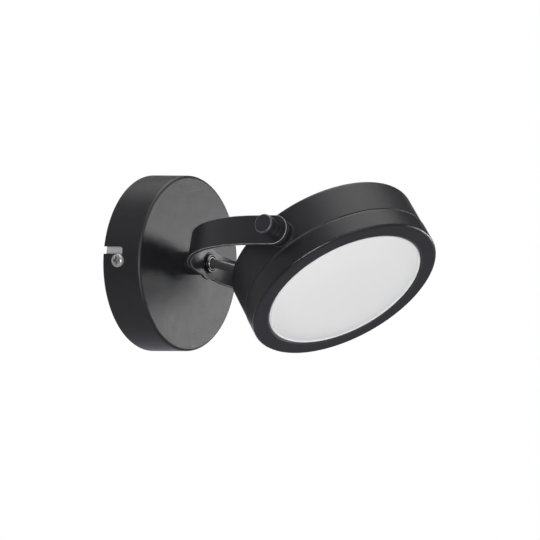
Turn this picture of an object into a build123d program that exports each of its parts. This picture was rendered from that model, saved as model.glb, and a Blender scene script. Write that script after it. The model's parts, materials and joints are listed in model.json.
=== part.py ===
"""Wall spotlight: round canopy, U yoke on a hollow nipple, tilting round head with an opal front."""
import os
from math import acos, asin, cos, degrees, pi, radians, sin

from build123d import *

os.makedirs("parts", exist_ok=True)

# Pose that is built, in degrees: the yoke turned on the wall axis, the head turned down
swivel_angle = 16.5
tilt_angle = 52.4

# Base canopy
canopy_radius = 50.0
canopy_draft = 0.6
canopy_depth = 24.0
canopy_wall = 1.5
canopy_edge = 1.5

# Bayonet notch in the canopy rim and the screw that holds it
canopy_screw_depth = 10.3
canopy_screw_rise = 1.4
canopy_screw_radius = 1.75
canopy_screw_length = 7.5
canopy_head_radius = 3.7
canopy_head_height = 2.4
notch_turn = 5.7
notch_clearance = 0.25

# Wall bracket
bracket_thickness = 1.5
bracket_width = 36.0
bracket_gap = 0.5
flange_height = 15.0
flange_width = 20.0
wall_slot_spacing = 68.0
wall_slot_length = 12.0
wall_slot_radius = 2.25
supply_hole_radius = 7.0
supply_hole_offset = 13.0
earth_offset = 13.0

# Nipple, stem, nuts and washers on the swivel axis
nipple_radius = 4.0
nipple_bore_radius = 3.0
nipple_tail = 2.0
nipple_tip = 0.3
stem_radius = 6.5
stem_length = 10.4
friction_thickness = 0.8
rear_washer_radius = 8.0
rear_washer_thickness = 1.0
rear_nut_flats = 13.0
rear_nut_height = 4.0
front_washer_radius = 6.2
front_washer_thickness = 0.5
front_nut_radius = 5.4
front_nut_height = 1.1
loose_clearance = 0.2
thread_clearance = 0.05
running_clearance = 0.06

# Yoke strap
strap_width = 15.5
strap_thickness = 2.0
eye_radius = 9.0
eye_flat = 6.5
eye_bend_angle = 30.0
arm_straight = 12.9
eye_blend = 2.0
pivot_reach = 80.1

# Head, measured along its own axis from the pivot line
head_radius = 53.5
bezel_step = 0.3
shell_back = 12.3
seam_ahead = 7.7
front_ahead = 19.2
shell_wall = 2.0
shell_edge = 2.0
lip_thickness = 1.2
bezel_edge = 1.2
seam_edge = 0.5
spigot_depth = 4.0
spigot_clearance = 0.2
rim_wall = 1.6
rim_gap = 0.4

# Pivot line: pads on the shell, collars, nuts and thumb screws
pad_radius = 7.0
pad_height = 1.0
pad_depth = 7.0
collar_radius = 6.0
collar_length = 4.9
thumb_shank_radius = 3.0
thumb_neck_radius = 4.3
thumb_neck_length = 4.2
thumb_cap_radius = 5.1
thumb_length = 10.8
thumb_chamfer = 0.45
pivot_nut_flats = 10.0
pivot_nut_height = 5.0

# Light parts inside the head
diffuser_thickness = 2.5
diffuser_clearance = 0.3
diffuser_lap = 2.4
diffuser_crown = 1.0
crown_flat = 2.0
gasket_thickness = 1.1
gasket_width = 2.0
board_back = 2.0
board_thickness = 1.6
board_margin = 1.5
post_margin = 9.5
post_radius = 3.5
post_count = 3
board_screw_radius = 1.25
board_screw_length = 7.0
board_head_radius = 2.8
board_head_height = 1.8
reflector_wall = 0.8
reflector_flare = 1.4
driver_width = 46.0
driver_length = 24.0
driver_height = 9.0
driver_margin = 7.5

# Flex from the canopy to the head and its grommet
flex_radius = 2.5
flex_bend = 15.0
flex_tail = 3.0
flex_dip_angle = 13.0
flex_dip_run = 24.0
flex_rise = 24.0
flex_inner_end = 4.0
grommet_nose = 3.0
grommet_flange_radius = 6.0
grommet_neck_radius = 4.3
grommet_flange = 1.5
core_radius = 0.8
core_spread = 0.9
core_bend = 2.2

# Terminal block on the bracket
block_length = 17.0
block_width = 21.0
block_height = 12.0
block_offset = 18.5
pole_pitch = 10.0
pole_height = 5.0
wire_hole_radius = 1.5
clamp_hole_radius = 2.2
clamp_screw_height = 4.0
earth_screw_radius = 2.0
earth_head_radius = 3.6
earth_head_height = 2.2
lug_thickness = 0.8
lug_radius = 4.2

# Places along the swivel axis, from the wall outwards
canopy_inside = canopy_depth - canopy_wall
rear_washer_back = canopy_inside - rear_washer_thickness
rear_nut_back = rear_washer_back - rear_nut_height
nipple_back = rear_nut_back - nipple_tail
stem_front = canopy_depth + stem_length
web_back = stem_front + friction_thickness
web_front = web_back + strap_thickness
front_nut_back = web_front + front_washer_thickness
front_nut_front = front_nut_back + front_nut_height
nipple_front = front_nut_front + nipple_tip
pivot_distance = web_back + pivot_reach

# Radii inside the head, from the skin inwards
bezel_radius = head_radius + bezel_step
spigot_radius = head_radius - shell_wall - spigot_clearance
spigot_bore = spigot_radius - shell_wall
rim_radius = spigot_bore - rim_gap - rim_wall
diffuser_radius = rim_radius - diffuser_clearance
window_radius = diffuser_radius - diffuser_lap
board_radius = diffuser_radius - board_margin
post_circle = board_radius - post_margin
driver_offset = board_radius - driver_margin - driver_length / 2

# Places along the pivot line, from the middle outwards
pad_outer = head_radius + pad_height
pad_inner = pad_outer - pad_height - pad_depth
collar_outer = pad_outer + collar_length
arm_inner = collar_outer + friction_thickness
arm_outer = arm_inner + strap_thickness
eye_bend_rise = sin(radians(eye_bend_angle))
eye_bend_fall = cos(radians(eye_bend_angle))
bend_span = arm_outer - eye_flat
bend_run = pivot_reach - arm_straight
bend_share = eye_bend_fall / (1 - eye_bend_rise)
eye_bend = (bend_share * bend_span - bend_run) / (bend_share * eye_bend_rise + eye_bend_fall - 1)
arm_bend = (bend_span - eye_bend * eye_bend_rise) / (1 - eye_bend_rise)

# Directions of the built pose
across = Vector(cos(radians(swivel_angle)), 0, -sin(radians(swivel_angle)))
rise = Vector(sin(radians(swivel_angle)), 0, cos(radians(swivel_angle)))
out = Vector(0, -1, 0)
aim = out * cos(radians(tilt_angle)) - rise * sin(radians(tilt_angle))
pivot_point = out * pivot_distance

# Work planes: each looks along the axis of its group
wall_plane = Plane(origin=(0, 0, 0), x_dir=(1, 0, 0), z_dir=out)
yoke_plane = Plane(origin=(0, 0, 0), x_dir=across, z_dir=out)
head_plane = Plane(origin=pivot_point, x_dir=across, z_dir=aim)
left_pivot = Plane(origin=pivot_point, x_dir=aim, z_dir=-across)
right_pivot = Plane(origin=pivot_point, x_dir=aim, z_dir=across)
left_rim = Plane(origin=(0, 0, 0), x_dir=out, z_dir=(-1, 0, 0))
right_rim = Plane(origin=(0, 0, 0), x_dir=out, z_dir=(1, 0, 0))
wall_axis = Axis((0, 0, 0), out)
head_axis = Axis(pivot_point, aim)


def section(plane):
    # Plane through the axis of a group: x is the radius, y runs along the axis
    return Plane(origin=plane.origin, x_dir=plane.x_dir, z_dir=-plane.y_dir)


def ring(plane, start, inner, outer, height):
    # Flat ring that starts at a height above its plane
    with BuildPart() as piece:
        with BuildSketch(plane.offset(start)):
            Circle(outer)
            Circle(inner, mode=Mode.SUBTRACT)
        extrude(amount=height)
    return piece


def hex_nut(plane, start, bore, flats, height):
    # Six-sided nut that starts at a height above its plane
    with BuildPart() as piece:
        with BuildSketch(plane.offset(start)):
            RegularPolygon(flats / 2, 6, major_radius=False)
            Circle(bore, mode=Mode.SUBTRACT)
        extrude(amount=height)
    return piece


def seat_on(plane, spot):
    # Seat of a screw: a plane moved to a spot in its own coordinates
    return Plane(origin=plane.from_local_coords(spot), x_dir=plane.x_dir, z_dir=plane.z_dir)


def pan_screw(seat, shank, length, head, height):
    # Pan-head screw with a cross recess, the seat plane lies under the head
    with BuildPart() as piece:
        with BuildSketch(seat):
            Circle(head)
        extrude(amount=height)
        fillet(piece.edges().sort_by(Axis(seat.origin, seat.z_dir))[-1], radius=height * 0.55)
        with BuildSketch(seat):
            Circle(shank)
        extrude(amount=-length)
        with BuildSketch(seat.offset(height)):
            Rectangle(head * 1.1, head * 0.34)
            Rectangle(head * 0.34, head * 1.1)
            Circle(head * 0.3)
        extrude(amount=-height * 0.6, mode=Mode.SUBTRACT)
    return piece


def thumb_screw(pivot):
    # Thumb screw with a stepped neck, its shoulder bears on the arm
    cap = arm_outer + thumb_length
    step = arm_outer + thumb_neck_length
    tip = pad_inner
    with BuildPart() as piece:
        with BuildSketch(section(pivot)):
            with BuildLine():
                Polyline(
                    (0, tip),
                    (thumb_shank_radius - thumb_chamfer, tip),
                    (thumb_shank_radius, tip + thumb_chamfer),
                    (thumb_shank_radius, arm_outer),
                    (thumb_neck_radius, arm_outer),
                    (thumb_neck_radius, step),
                    (thumb_cap_radius - thumb_chamfer, step),
                    (thumb_cap_radius, step + thumb_chamfer),
                    (thumb_cap_radius, cap - thumb_chamfer),
                    (thumb_cap_radius - thumb_chamfer, cap),
                    (0, cap),
                    close=True,
                )
            make_face()
        revolve(axis=Axis(pivot.origin, pivot.z_dir))
    return piece


def core(points):
    # Insulated core with round bends, points are radius-wise and outward on the wall plane
    with BuildPart() as piece:
        with BuildLine() as route:
            FilletPolyline(*[wall_plane.from_local_coords(point) for point in points], radius=core_bend)
        with BuildSketch(Plane(origin=route.line @ 0, z_dir=route.line % 0)):
            Circle(core_radius)
        sweep()
    return piece


# Base canopy: a drawn cup, open to the wall, with two bayonet notches in the rim
canopy_front_radius = canopy_radius - canopy_draft
with BuildPart() as canopy:
    with BuildSketch(section(wall_plane)) as canopy_profile:
        with BuildLine():
            Polyline(
                (canopy_radius - canopy_wall, 0),
                (canopy_radius, 0),
                (canopy_front_radius, canopy_depth),
                (nipple_radius + loose_clearance, canopy_depth),
                (nipple_radius + loose_clearance, canopy_inside),
                (canopy_front_radius - canopy_wall, canopy_inside),
                close=True,
            )
        make_face()
        outer_corner = (canopy_front_radius, canopy_depth)
        fillet(canopy_profile.vertices().sort_by_distance(outer_corner)[0], radius=canopy_edge)
        inner_corner = (canopy_front_radius - canopy_wall, canopy_inside)
        fillet(canopy_profile.vertices().sort_by_distance(inner_corner)[0], radius=canopy_edge / 2)
    revolve(axis=wall_axis)
    notch_radius = canopy_screw_radius + notch_clearance
    for rim in (left_rim, right_rim):
        with BuildSketch(rim.offset(canopy_radius + canopy_wall)):
            with Locations((canopy_screw_depth, canopy_screw_rise + notch_turn / 2)):
                SlotCenterToCenter(notch_turn, 2 * notch_radius, rotation=90)
            with Locations((canopy_screw_depth / 2 - canopy_wall / 2, canopy_screw_rise + notch_turn)):
                Rectangle(canopy_screw_depth + canopy_wall, 2 * notch_radius)
        extrude(amount=-canopy_wall * 4, mode=Mode.SUBTRACT)
canopy.part.label = "base_canopy"
export_step(canopy.part, "parts/base_canopy.step")

# Wall bracket: flat strip with curved end flanges that take the canopy screws
flange_radius = canopy_front_radius - canopy_wall - bracket_gap
with BuildPart() as bracket:
    with BuildSketch(wall_plane):
        Circle(flange_radius)
        Rectangle(2 * canopy_radius, bracket_width, mode=Mode.INTERSECT)
        with Locations((-supply_hole_offset, 0)):
            Circle(supply_hole_radius, mode=Mode.SUBTRACT)
        with Locations((-wall_slot_spacing / 2, 0), (wall_slot_spacing / 2, 0)):
            SlotOverall(wall_slot_length, 2 * wall_slot_radius, mode=Mode.SUBTRACT)
        with Locations((0, -earth_offset)):
            Circle(earth_screw_radius + thread_clearance, mode=Mode.SUBTRACT)
    extrude(amount=bracket_thickness)
    with BuildSketch(wall_plane):
        Circle(flange_radius)
        Circle(flange_radius - bracket_thickness, mode=Mode.SUBTRACT)
        Rectangle(2 * canopy_radius, flange_width, mode=Mode.INTERSECT)
    extrude(amount=flange_height)
    for rim in (left_rim, right_rim):
        with BuildSketch(rim):
            with Locations((canopy_screw_depth, canopy_screw_rise)):
                Circle(canopy_screw_radius + thread_clearance)
        extrude(amount=canopy_radius, mode=Mode.SUBTRACT)
bracket.part.label = "wall_bracket"
export_step(bracket.part, "parts/wall_bracket.step")

# Canopy screws: through the notch into the bracket flange
for side, rim in (("left", left_rim), ("right", right_rim)):
    canopy_screw = pan_screw(
        seat_on(rim, (canopy_screw_depth, canopy_screw_rise, canopy_radius)),
        canopy_screw_radius,
        canopy_screw_length,
        canopy_head_radius,
        canopy_head_height,
    )
    canopy_screw.part.label = f"{side}_canopy_screw"
    export_step(canopy_screw.part, f"parts/{side}_canopy_screw.step")

# Stem: plain tube between canopy and yoke
nipple_way = nipple_radius + loose_clearance
nipple_thread = nipple_radius + thread_clearance
stem = ring(wall_plane, canopy_depth, nipple_way, stem_radius, stem_length)
stem.part.label = "stem"
export_step(stem.part, "parts/stem.step")

# Hollow nipple: carries the yoke and lets the flex through
with BuildPart() as nipple:
    with BuildSketch(wall_plane.offset(nipple_back)):
        Circle(nipple_radius)
        Circle(nipple_bore_radius, mode=Mode.SUBTRACT)
    extrude(amount=nipple_front - nipple_back)
    chamfer(nipple.faces().sort_by(wall_axis)[-1].edges(), length=nipple_tip / 2)
nipple.part.label = "nipple"
export_step(nipple.part, "parts/nipple.step")

# Rear washer and nut hold the nipple inside the canopy
rear_washer = ring(wall_plane, rear_washer_back, nipple_way, rear_washer_radius, rear_washer_thickness)
rear_washer.part.label = "rear_washer"
export_step(rear_washer.part, "parts/rear_washer.step")
rear_nut = hex_nut(wall_plane, rear_nut_back, nipple_thread, rear_nut_flats, rear_nut_height)
rear_nut.part.label = "rear_nut"
export_step(rear_nut.part, "parts/rear_nut.step")

# Friction washer, front washer and ring nut clamp the yoke's eye
swivel_washer = ring(wall_plane, stem_front, nipple_way, stem_radius, friction_thickness)
swivel_washer.part.label = "swivel_washer"
export_step(swivel_washer.part, "parts/swivel_washer.step")
front_washer = ring(wall_plane, web_front, nipple_way, front_washer_radius, front_washer_thickness)
front_washer.part.label = "front_washer"
export_step(front_washer.part, "parts/front_washer.step")
with BuildPart() as front_nut:
    with BuildSketch(wall_plane.offset(front_nut_back)):
        Circle(front_nut_radius)
        Circle(nipple_thread, mode=Mode.SUBTRACT)
    extrude(amount=front_nut_height)
    chamfer(front_nut.faces().sort_by(wall_axis)[-1].edges(), length=nipple_tip)
front_nut.part.label = "front_nut"
export_step(front_nut.part, "parts/front_nut.step")

# Yoke: flat strap bent to a U, round arm ends, a wider eye on the nipple
with BuildPart() as yoke:
    with BuildSketch(section(yoke_plane)):
        with BuildLine():
            arm_end = pivot_distance + strap_width / 2
            eye_height = web_back + eye_bend
            bend_height = eye_height + (arm_bend - eye_bend) * eye_bend_fall
            bend_centre = arm_outer - arm_bend
            inner_arm = arm_bend - strap_thickness
            inner_eye = eye_bend - strap_thickness
            rest_angle = 90 - eye_bend_angle
            Line((arm_outer, arm_end), (arm_outer, bend_height))
            CenterArc((bend_centre, bend_height), arm_bend, 0, -rest_angle)
            CenterArc((eye_flat, eye_height), eye_bend, -rest_angle, -eye_bend_angle)
            Line((eye_flat, web_back), (-eye_flat, web_back))
            CenterArc((-eye_flat, eye_height), eye_bend, -90, -eye_bend_angle)
            CenterArc((-bend_centre, bend_height), arm_bend, -90 - eye_bend_angle, -rest_angle)
            Line((-arm_outer, bend_height), (-arm_outer, arm_end))
            Line((-arm_outer, arm_end), (-arm_inner, arm_end))
            Line((-arm_inner, arm_end), (-arm_inner, bend_height))
            CenterArc((-bend_centre, bend_height), inner_arm, 180, rest_angle)
            CenterArc((-eye_flat, eye_height), inner_eye, 180 + rest_angle, eye_bend_angle)
            Line((-eye_flat, web_front), (eye_flat, web_front))
            CenterArc((eye_flat, eye_height), inner_eye, 270, eye_bend_angle)
            CenterArc((bend_centre, bend_height), inner_arm, 270 + eye_bend_angle, rest_angle)
            Line((arm_inner, bend_height), (arm_inner, arm_end))
            Line((arm_inner, arm_end), (arm_outer, arm_end))
        make_face()
    extrude(amount=strap_width, both=True)
    with BuildSketch(Plane(origin=(0, 0, 0), x_dir=out, z_dir=across)):
        with Locations((pivot_distance, 0)):
            Circle(strap_width / 2)
        with Locations((pivot_distance / 2, 0)):
            Rectangle(pivot_distance, strap_width)
    extrude(amount=2 * arm_outer, both=True, mode=Mode.INTERSECT)
    with BuildSketch(yoke_plane.offset(web_back)):
        Circle(eye_radius)
        Rectangle(2 * eye_flat, 2 * eye_radius, mode=Mode.INTERSECT)
    extrude(amount=strap_thickness)
    eye_corners = yoke.edges().filter_by(wall_axis).sort_by_distance(out * web_back)[:4]
    fillet(eye_corners, radius=eye_blend)
    with BuildSketch(yoke_plane.offset(web_back)):
        Circle(nipple_radius + running_clearance)
    extrude(amount=strap_thickness, mode=Mode.SUBTRACT)
    with BuildSketch(right_pivot):
        Circle(thumb_shank_radius + running_clearance)
    extrude(amount=2 * arm_outer, both=True, mode=Mode.SUBTRACT)
yoke.part.label = "yoke"
export_step(yoke.part, "parts/yoke.step")

# Head shell: rear cup with pads for the pivot line, posts for the board and a hole for the grommet
with BuildPart() as shell:
    with BuildSketch(section(head_plane)) as shell_profile:
        with BuildLine():
            Polyline(
                (0, -shell_back),
                (head_radius, -shell_back),
                (head_radius, seam_ahead),
                (head_radius - shell_wall, seam_ahead),
                (head_radius - shell_wall, shell_wall - shell_back),
                (0, shell_wall - shell_back),
                close=True,
            )
        make_face()
        back_corner = (head_radius, -shell_back)
        fillet(shell_profile.vertices().sort_by_distance(back_corner)[0], radius=shell_edge)
        seam_corner = (head_radius, seam_ahead)
        chamfer(shell_profile.vertices().sort_by_distance(seam_corner)[0], length=seam_edge)
    revolve(axis=head_axis)
    for pivot in (left_pivot, right_pivot):
        with BuildSketch(pivot.offset(pad_inner)):
            Circle(pad_radius)
        extrude(amount=pad_outer - pad_inner)
        with BuildSketch(pivot.offset(pad_inner)):
            RegularPolygon(pivot_nut_flats / 2 + thread_clearance, 6, major_radius=False)
        extrude(amount=pivot_nut_height, mode=Mode.SUBTRACT)
        with BuildSketch(pivot.offset(pad_inner)):
            Circle(thumb_shank_radius + loose_clearance)
        extrude(amount=pad_outer - pad_inner, mode=Mode.SUBTRACT)
    with BuildSketch(head_plane.offset(shell_wall - shell_back)):
        with PolarLocations(post_circle, post_count, start_angle=90):
            Circle(post_radius)
    extrude(amount=board_back + shell_back - shell_wall)
    with BuildSketch(head_plane.offset(board_back)):
        with PolarLocations(post_circle, post_count, start_angle=90):
            Circle(board_screw_radius + thread_clearance)
    extrude(amount=-board_screw_length, mode=Mode.SUBTRACT)
    with BuildSketch(head_plane.offset(-shell_back)):
        Circle(grommet_neck_radius + running_clearance)
    extrude(amount=shell_wall, mode=Mode.SUBTRACT)
shell.part.label = "head_shell"
export_step(shell.part, "parts/head_shell.step")

# Front bezel: skirt, spigot in the shell, flat face with a lip over the diffuser
diffuser_front = front_ahead - lip_thickness
diffuser_rear = diffuser_front - diffuser_thickness
gasket_rear = diffuser_rear - gasket_thickness
with BuildPart() as bezel:
    with BuildSketch(section(head_plane)) as bezel_profile:
        with BuildLine():
            Polyline(
                (window_radius, front_ahead),
                (bezel_radius, front_ahead),
                (bezel_radius, seam_ahead),
                (spigot_radius, seam_ahead),
                (spigot_radius, seam_ahead - spigot_depth),
                (spigot_bore, seam_ahead - spigot_depth),
                (spigot_bore, front_ahead - 2 * lip_thickness),
                (rim_radius + rim_wall, front_ahead - 2 * lip_thickness),
                (rim_radius + rim_wall, gasket_rear),
                (rim_radius, gasket_rear),
                (rim_radius, diffuser_front),
                (window_radius, diffuser_front),
                close=True,
            )
        make_face()
        rim_corner = (bezel_radius, front_ahead)
        fillet(bezel_profile.vertices().sort_by_distance(rim_corner)[0], radius=bezel_edge)
        lip_corner = (window_radius, front_ahead)
        chamfer(bezel_profile.vertices().sort_by_distance(lip_corner)[0], length=lip_thickness / 2)
        skirt_corner = (bezel_radius, seam_ahead)
        chamfer(bezel_profile.vertices().sort_by_distance(skirt_corner)[0], length=seam_edge)
    revolve(axis=head_axis)
    with BuildSketch(right_pivot):
        Circle(pad_radius + loose_clearance)
    extrude(amount=head_radius - shell_wall, both=True, mode=Mode.SUBTRACT)
bezel.part.label = "front_bezel"
export_step(bezel.part, "parts/front_bezel.step")

# Diffuser, gasket and reflector behind the lip
crown_edge = window_radius - diffuser_clearance
crown_reach = crown_edge - crown_flat
crown_radius = (crown_reach**2 + diffuser_crown**2) / (2 * diffuser_crown)
with BuildPart() as diffuser:
    with BuildSketch(section(head_plane)):
        with BuildLine():
            Polyline(
                (crown_flat, diffuser_front + diffuser_crown),
                (0, diffuser_front + diffuser_crown),
                (0, diffuser_rear),
                (diffuser_radius, diffuser_rear),
                (diffuser_radius, diffuser_front),
                (crown_edge, diffuser_front),
            )
            CenterArc(
                (crown_flat, diffuser_front + diffuser_crown - crown_radius),
                crown_radius,
                degrees(acos(crown_reach / crown_radius)),
                degrees(asin(crown_reach / crown_radius)),
            )
        make_face()
    revolve(axis=head_axis)
diffuser.part.label = "diffuser"
export_step(diffuser.part, "parts/diffuser.step")
gasket_bore = diffuser_radius - gasket_width
gasket = ring(head_plane, gasket_rear, gasket_bore, diffuser_radius, gasket_thickness)
gasket.part.label = "diffuser_gasket"
export_step(gasket.part, "parts/diffuser_gasket.step")
board_front = board_back + board_thickness
with BuildPart() as reflector:
    with BuildSketch(section(head_plane)):
        with BuildLine():
            Polyline(
                (board_radius - reflector_wall, board_front),
                (board_radius, board_front),
                (board_radius + reflector_flare, gasket_rear),
                (board_radius + reflector_flare - reflector_wall, gasket_rear),
                close=True,
            )
        make_face()
    revolve(axis=head_axis)
reflector.part.label = "reflector"
export_step(reflector.part, "parts/reflector.step")

# Light board on the posts, with its screws
with BuildPart() as board:
    with BuildSketch(head_plane.offset(board_back)):
        Circle(board_radius)
        with PolarLocations(post_circle, post_count, start_angle=90):
            Circle(board_screw_radius + loose_clearance, mode=Mode.SUBTRACT)
    extrude(amount=board_thickness)
board.part.label = "led_board"
export_step(board.part, "parts/led_board.step")
for number in range(post_count):
    angle = radians(90 + 360 * number / post_count)
    board_screw = pan_screw(
        seat_on(head_plane, (post_circle * cos(angle), post_circle * sin(angle), board_front)),
        board_screw_radius,
        board_screw_length,
        board_head_radius,
        board_head_height,
    )
    board_screw.part.label = f"board_screw_{number + 1}"
    export_step(board_screw.part, f"parts/board_screw_{number + 1}.step")

# Driver: potted box on the back wall of the shell
with BuildPart() as driver:
    with BuildSketch(head_plane.offset(shell_wall - shell_back)):
        with Locations((0, -driver_offset)):
            RectangleRounded(driver_width, driver_length, shell_edge)
    extrude(amount=driver_height)
    chamfer(driver.faces().sort_by(head_axis)[-1].edges(), length=thumb_chamfer)
driver.part.label = "led_driver"
export_step(driver.part, "parts/led_driver.step")

# Grommet: rubber sleeve buttoned into the back of the shell
with BuildPart() as grommet:
    with BuildSketch(section(head_plane)):
        with BuildLine():
            back_inside = shell_wall - shell_back
            bore = flex_radius + thread_clearance
            Polyline(
                (bore, -shell_back - grommet_nose),
                (grommet_neck_radius, -shell_back - grommet_nose),
                (grommet_flange_radius, -shell_back),
                (grommet_neck_radius, -shell_back),
                (grommet_neck_radius, back_inside),
                (grommet_flange_radius, back_inside),
                (grommet_flange_radius, back_inside + grommet_flange),
                (bore, back_inside + grommet_flange),
                close=True,
            )
        make_face()
    revolve(axis=head_axis)
grommet.part.label = "flex_grommet"
export_step(grommet.part, "parts/flex_grommet.step")

# Pivot line: collars, friction washers, nuts and thumb screws, left and right
thumb_way = thumb_shank_radius + loose_clearance
thumb_thread = thumb_shank_radius + thread_clearance
for side, pivot in (("left", left_pivot), ("right", right_pivot)):
    collar = ring(pivot, pad_outer, thumb_way, collar_radius, collar_length)
    collar.part.label = f"{side}_collar"
    export_step(collar.part, f"parts/{side}_collar.step")
    tilt_washer = ring(pivot, collar_outer, thumb_way, collar_radius, friction_thickness)
    tilt_washer.part.label = f"{side}_tilt_washer"
    export_step(tilt_washer.part, f"parts/{side}_tilt_washer.step")
    pivot_nut = hex_nut(pivot, pad_inner, thumb_thread, pivot_nut_flats, pivot_nut_height)
    pivot_nut.part.label = f"{side}_pivot_nut"
    export_step(pivot_nut.part, f"parts/{side}_pivot_nut.step")
    thumb = thumb_screw(pivot)
    thumb.part.label = f"{side}_thumb_screw"
    export_step(thumb.part, f"parts/{side}_thumb_screw.step")

# Flex: leaves the nipple, dips, rises and turns over into the grommet with slack for the tilt
dip = radians(flex_dip_angle)
tilt = radians(tilt_angle)
flex_start = nipple_back - flex_tail
flex_leave = nipple_front + flex_radius / 2
low_out = flex_leave + flex_dip_run * cos(dip)
low_up = -flex_dip_run * sin(dip)
top_back = shell_back + flex_rise
end_back = shell_back - shell_wall - flex_inner_end
with BuildPart() as flex:
    with BuildLine(Plane(origin=(0, 0, 0), x_dir=out, z_dir=-across)) as route:
        FilletPolyline(
            (flex_start, 0),
            (flex_leave, 0),
            (low_out, low_up),
            (pivot_distance - top_back * cos(tilt), top_back * sin(tilt)),
            (pivot_distance - end_back * cos(tilt), end_back * sin(tilt)),
            radius=flex_bend,
        )
    with BuildSketch(Plane(origin=route.line @ 0, z_dir=route.line % 0)):
        Circle(flex_radius)
    sweep()
flex.part.label = "flex"
export_step(flex.part, "parts/flex.step")
flex_length = sum(edge.length for edge in route.edges())
print("flex length", round(flex_length, 1), "bend radius", flex_bend)
flex_solid = pi * flex_radius**2 * flex_length
print("flex volume", round(flex.part.volume, 1), "section by length", round(flex_solid, 1))

# Terminal block on the bracket: two poles with wire holes along and clamp holes from the front
with BuildPart() as block:
    with BuildSketch(wall_plane.offset(bracket_thickness)):
        with Locations((block_offset, 0)):
            RectangleRounded(block_length, block_width, clamp_hole_radius / 2)
    extrude(amount=block_height)
    pole_level = bracket_thickness + pole_height
    with BuildSketch(right_rim.offset(block_offset)):
        with Locations((pole_level, -pole_pitch / 2), (pole_level, pole_pitch / 2)):
            Circle(wire_hole_radius)
    extrude(amount=block_length, both=True, mode=Mode.SUBTRACT)
    with BuildSketch(wall_plane.offset(bracket_thickness + block_height)):
        with Locations((block_offset, -pole_pitch / 2), (block_offset, pole_pitch / 2)):
            Circle(clamp_hole_radius)
    extrude(amount=-(block_height - pole_height), mode=Mode.SUBTRACT)
block.part.label = "terminal_block"
export_step(block.part, "parts/terminal_block.step")

# Clamp screws down in the block
clamp_start = pole_level + wire_hole_radius
for number, side in enumerate((-1, 1)):
    with BuildPart() as clamp_screw:
        with BuildSketch(wall_plane.offset(clamp_start)):
            with Locations((block_offset, side * pole_pitch / 2)):
                Circle(clamp_hole_radius - thread_clearance)
        extrude(amount=clamp_screw_height)
        with BuildSketch(wall_plane.offset(clamp_start + clamp_screw_height)):
            with Locations((block_offset, side * pole_pitch / 2)):
                Rectangle(2 * clamp_hole_radius, clamp_hole_radius / 3)
        extrude(amount=-clamp_screw_height / 3, mode=Mode.SUBTRACT)
    clamp_screw.part.label = f"clamp_screw_{number + 1}"
    export_step(clamp_screw.part, f"parts/clamp_screw_{number + 1}.step")

# Earth screw and the lug under its head
with BuildPart() as lug:
    with BuildSketch(wall_plane.offset(bracket_thickness)):
        with Locations((0, -earth_offset)):
            Circle(lug_radius)
        with Locations((0, -earth_offset / 2 - lug_radius / 2)):
            Rectangle(lug_radius * 0.8, earth_offset - lug_radius)
        with Locations((0, -earth_offset)):
            Circle(earth_screw_radius + loose_clearance, mode=Mode.SUBTRACT)
    extrude(amount=lug_thickness)
lug.part.label = "earth_lug"
export_step(lug.part, "parts/earth_lug.step")
lug_top = bracket_thickness + lug_thickness
earth_screw = pan_screw(
    seat_on(wall_plane, (0, -earth_offset, lug_top)),
    earth_screw_radius,
    lug_top,
    earth_head_radius,
    earth_head_height,
)
earth_screw.part.label = "earth_screw"
export_step(earth_screw.part, "parts/earth_screw.step")

# Cores of the flex inside the canopy: two to the block, one to the lug
core_start = flex_start - thread_clearance
block_side = block_offset - block_length / 2
for name, side in (("live_core", 1), ("neutral_core", -1)):
    pole_core = core([
        (core_spread, side * core_spread, core_start),
        (core_spread, side * core_spread, pole_level),
        (block_side - 2 * core_bend, side * pole_pitch / 2, pole_level),
        (block_side + 2 * core_bend, side * pole_pitch / 2, pole_level),
    ])
    pole_core.part.label = name
    export_step(pole_core.part, f"parts/{name}.step")
lug_level = lug_top + core_radius
earth_core = core([
    (-core_spread - thread_clearance, 0, core_start),
    (-core_spread - thread_clearance, 0, lug_level),
    (0, -earth_offset + lug_radius, lug_level),
])
earth_core.part.label = "earth_core"
export_step(earth_core.part, "parts/earth_core.step")
print("pivot distance", round(pivot_distance, 2), "arm outside", round(arm_outer, 2))
print("window radius", round(window_radius, 2), "board radius", round(board_radius, 2))
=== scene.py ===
# %% [markdown]
# # A black wall spotlight, dressed for its picture
# The solids of the lamp come from its drawing as named nodes, in metres, in one fixed frame: X runs to
# the right along the wall, Y goes into the wall and Z is up. This lesson leaves the solids where they
# are and gives each one a finish. Three of them are swapped for finer shapes, the flex, the nipple and
# the opal front, and small pieces are added that the drawing leaves out: screw threads, light chips and
# the metal parts of the terminal block.

# %% Load the frame
import json
import math

import bmesh
import bpy
from mathutils import Matrix, Vector


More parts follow.
